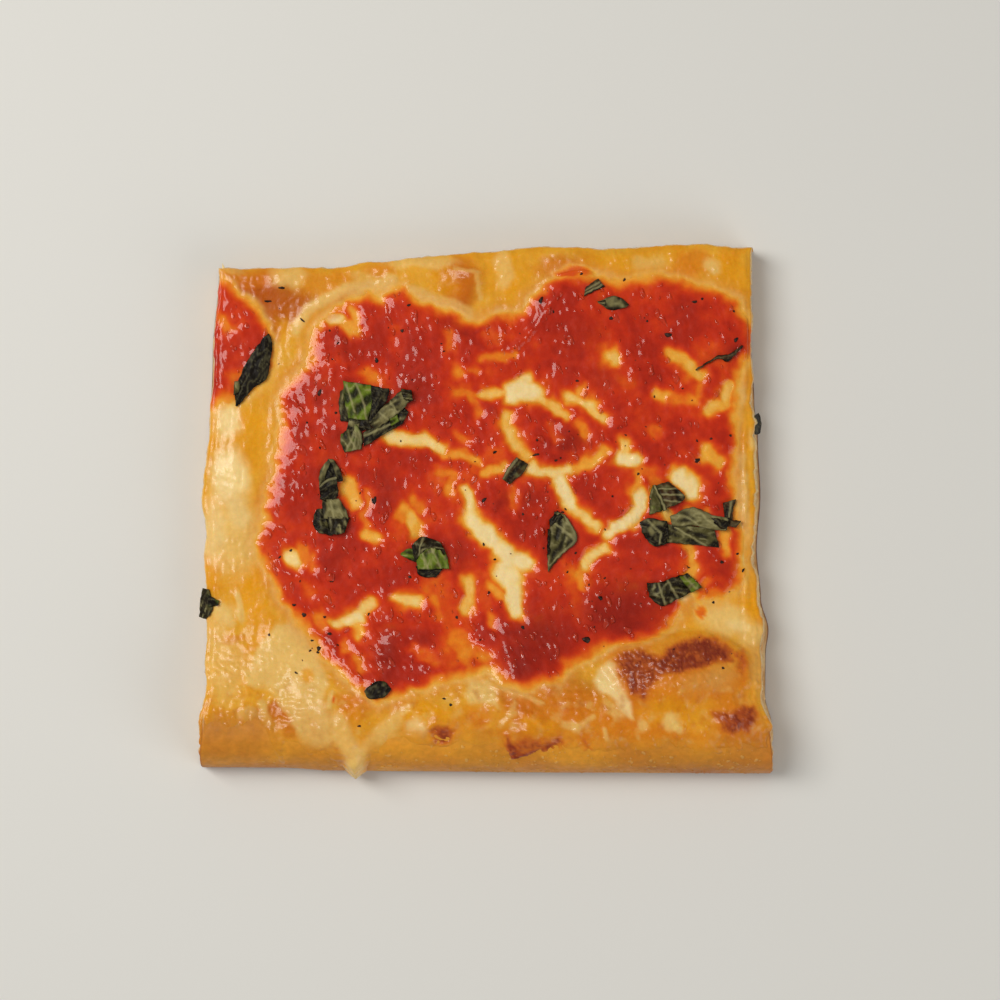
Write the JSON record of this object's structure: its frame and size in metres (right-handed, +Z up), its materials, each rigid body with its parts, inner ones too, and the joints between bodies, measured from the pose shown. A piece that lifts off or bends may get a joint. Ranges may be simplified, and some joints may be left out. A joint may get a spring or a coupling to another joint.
{
  "type": "pizza slice",
  "caption": "Square-cut pan pizza slice: thick dough with a browned rim along the front, melted cheese, tomato sauce and torn baked basil leaves.",
  "frame": {"origin": "centre of the slice's footprint, on the flat underside", "axes": "+Z up, +X along the rounded front rim to the right, +Y from the rounded rim to the cut back side"},
  "size_m": [0.1405, 0.1312, 0.018],
  "materials": {
    "crust": "baked wheat dough, golden brown, matt with fine bubbles",
    "cheese": "melted mozzarella, oily, cream to golden with browned blisters",
    "sauce": "cooked tomato sauce, wet and lumpy",
    "basil": "baked basil leaf, dark green to black"
  },
  "bodies": {
    "root": {"crust": "crust", "cheese": "cheese", "sauce": "sauce", "sauce_corner": "sauce", "basil_corner": "basil", "basil_green": "basil", "basil_folded": "basil", "basil_tuck": "basil", "basil_upper": "basil", "basil_lower": "basil", "basil_fresh": "basil", "basil_square": "basil", "basil_spear": "basil", "basil_veined": "basil", "basil_long": "basil", "basil_tail": "basil", "basil_rolled": "basil", "basil_grey": "basil", "basil_sliver": "basil", "basil_burnt": "basil", "basil_charred": "basil", "basil_edge_left": "basil", "basil_edge_right": "basil"}
  },
  "joints": []
}
